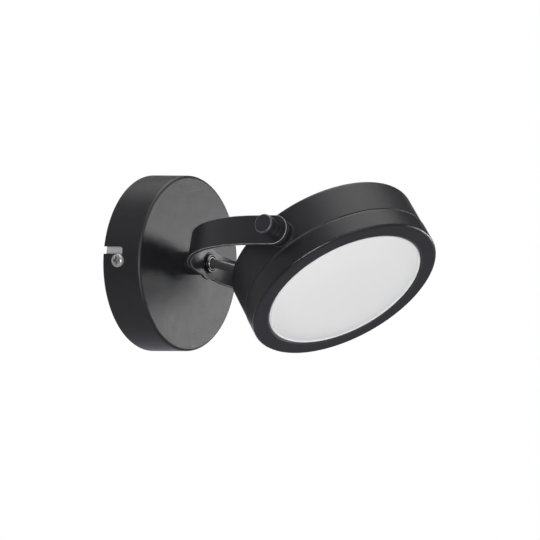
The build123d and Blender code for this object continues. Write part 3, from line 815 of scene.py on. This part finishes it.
# %% World
ambient = 0.5
white = (1, 1, 1, 1)
world = bpy.data.worlds.new("studio")
scene.world = world
world.use_nodes = True
tree = world.node_tree
tree.nodes.clear()
light_path = put(tree, "ShaderNodeLightPath").outputs
direct = maths(tree, "MAXIMUM", light_path["Is Camera Ray"], light_path["Is Glossy Ray"])
seen = maths(tree, "MAXIMUM", direct, light_path["Is Transmission Ray"])
dim_ground = put(tree, "ShaderNodeBackground", {"Color": white, "Strength": ambient})
white_ground = put(tree, "ShaderNodeBackground", {"Color": white, "Strength": 1.0})
ground = put(tree, "ShaderNodeMixShader", {0: seen, 1: dim_ground.outputs[0], 2: white_ground.outputs[0]})
put(tree, "ShaderNodeOutputWorld", {0: ground.outputs[0]})
print("world", world.name)


# %% Lights
def facing(spot, target):
    """Place and turn of a thing that stands at a spot and faces a target."""
    turn = (Vector(target) - Vector(spot)).to_track_quat("-Z", "Y")
    return Matrix.Translation(spot) @ turn.to_matrix().to_4x4()


def softbox(name, spot, target, width, height, power):
    """Large rectangular light that faces a point."""
    data = bpy.data.lights.new(name, "AREA")
    data.shape = "RECTANGLE"
    data.size = width
    data.size_y = height
    data.energy = power
    lamp = bpy.data.objects.new(name, data)
    scene.collection.objects.link(lamp)
    lamp.matrix_world = facing(spot, target)
    lamp.visible_camera = False
    print(name, "at", spot)


softbox("right_softbox", (0.983, -0.738, -0.08), (0, -0.05, -0.08), width=0.62, height=0.36, power=5.2)
softbox("top_softbox", (0.05, -0.575, 1.30), (0.05, -0.575, 0), width=1.8, height=0.85, power=6.6)
softbox("back_softbox", (0.50, 0.275, 1.30), (0.50, 0.275, 0), width=0.9, height=0.85, power=7.8)
softbox("front_softbox", (-0.72, -0.40, -0.06), (0, -0.13, 0), width=0.4, height=0.3, power=3.6)

# %% Cards
cool = (0.91, 0.88, 1.0)
plain = (1.0, 1.0, 1.0)
middle = (0, 0, 0)


def card(name, spot, target, width, height, glow, tint=plain):
    """Evenly lit card that faces a point and that the camera does not see."""
    bm = bmesh.new()
    bmesh.ops.create_grid(bm, x_segments=1, y_segments=1, size=0.5)
    size = Matrix.Diagonal((width, height, 1, 1))
    bmesh.ops.transform(bm, verts=bm.verts, matrix=facing(spot, target) @ size)
    mesh = bpy.data.meshes.new(name)
    bm.to_mesh(mesh)
    bm.free()
    made, tree, shader = new_finish(name)
    shader.inputs["Base Color"].default_value = (0, 0, 0, 1)
    shader.inputs["Specular IOR Level"].default_value = 0.0
    shader.inputs["Emission Color"].default_value = (*tint, 1)
    shader.inputs["Emission Strength"].default_value = glow
    mesh.materials.append(made)
    board = bpy.data.objects.new(name, mesh)
    scene.collection.objects.link(board)
    board.visible_camera = False
    print(name, "at", spot)
    return board


card("left_card", (-2.0, 0.0, 0.0), middle, width=4.6, height=4.6, glow=0.05, tint=cool)
card("high_left_card", (-1.6, 1.2, 1.4), middle, width=2.4, height=1.6, glow=0.54, tint=cool)
card("back_card", (0.0, 2.0, 0.0), middle, width=4.6, height=4.6, glow=0.42)
card("ceiling_card", (0.0, -1.15, 2.3), (0, -1.15, 0), width=4.6, height=2.3, glow=0.74)
card("high_back_card", (1.15, 1.15, 2.3), (1.15, 1.15, 0), width=2.3, height=2.3, glow=0.2)
card("dark_card", (-1.15, 1.15, 2.3), (-1.15, 1.15, 0), width=2.3, height=2.3, glow=0.04)
card("far_card", (2.3, 0.5, 0.2), middle, width=4.6, height=4.6, glow=0.08)
card("front_card", (1.0, -1.75, 0.0), middle, width=2.4, height=3.0, glow=0.26)
card("backdrop", (1.7, 1.05, 0.0), middle, width=1.4, height=1.2, glow=1.0)

# %% [markdown]
# ## Floor
# The floor is a pale disc below the lamp. Two low cards lie just above it and show only in the
# reflections of the black paint. The floor is a little paler to the camera than it is to the light, so
# that it looks pale without throwing more light on the lamp, and its underside is clear, so that a
# camera below it still sees the lamp.

# %% Low cards
low_cards = (
    card("low_card", (0.0, -0.55, -0.41), (0, -0.55, 0), width=3.0, height=1.9, glow=0.34, tint=cool),
    card("low_back_card", (0.95, 0.70, -0.41), (0.95, 0.70, 0), width=1.5, height=0.6, glow=1.0, tint=cool),
)
for low_card in low_cards:
    low_card.visible_shadow = False
    low_card.visible_diffuse = False
print("low cards", len(low_cards))

# %% Floor
floor_level = -0.42
floor_tone = 0.6
floor_seen = 0.78
bm = bmesh.new()
floor_place = Matrix.Translation((0, 0, floor_level))
bmesh.ops.create_circle(bm, cap_ends=True, radius=1.5, segments=96, matrix=floor_place)
mesh = bpy.data.meshes.new("floor")
bm.to_mesh(mesh)
bm.free()
floor = bpy.data.objects.new("floor", mesh)
scene.collection.objects.link(floor)
floor_paint, tree, shader = new_finish("pale_floor")
seen = put(tree, "ShaderNodeLightPath").outputs["Is Camera Ray"]
tree.links.new(mix_colour(tree, seen, grey(floor_tone), grey(floor_seen)), shader.inputs["Base Color"])
shader.inputs["Roughness"].default_value = 0.8
underside = put(tree, "ShaderNodeNewGeometry").outputs["Backfacing"]
tree.links.new(maths(tree, "SUBTRACT", 1.0, underside), shader.inputs["Alpha"])
mesh.materials.append(floor_paint)
print("floor at", floor_level)
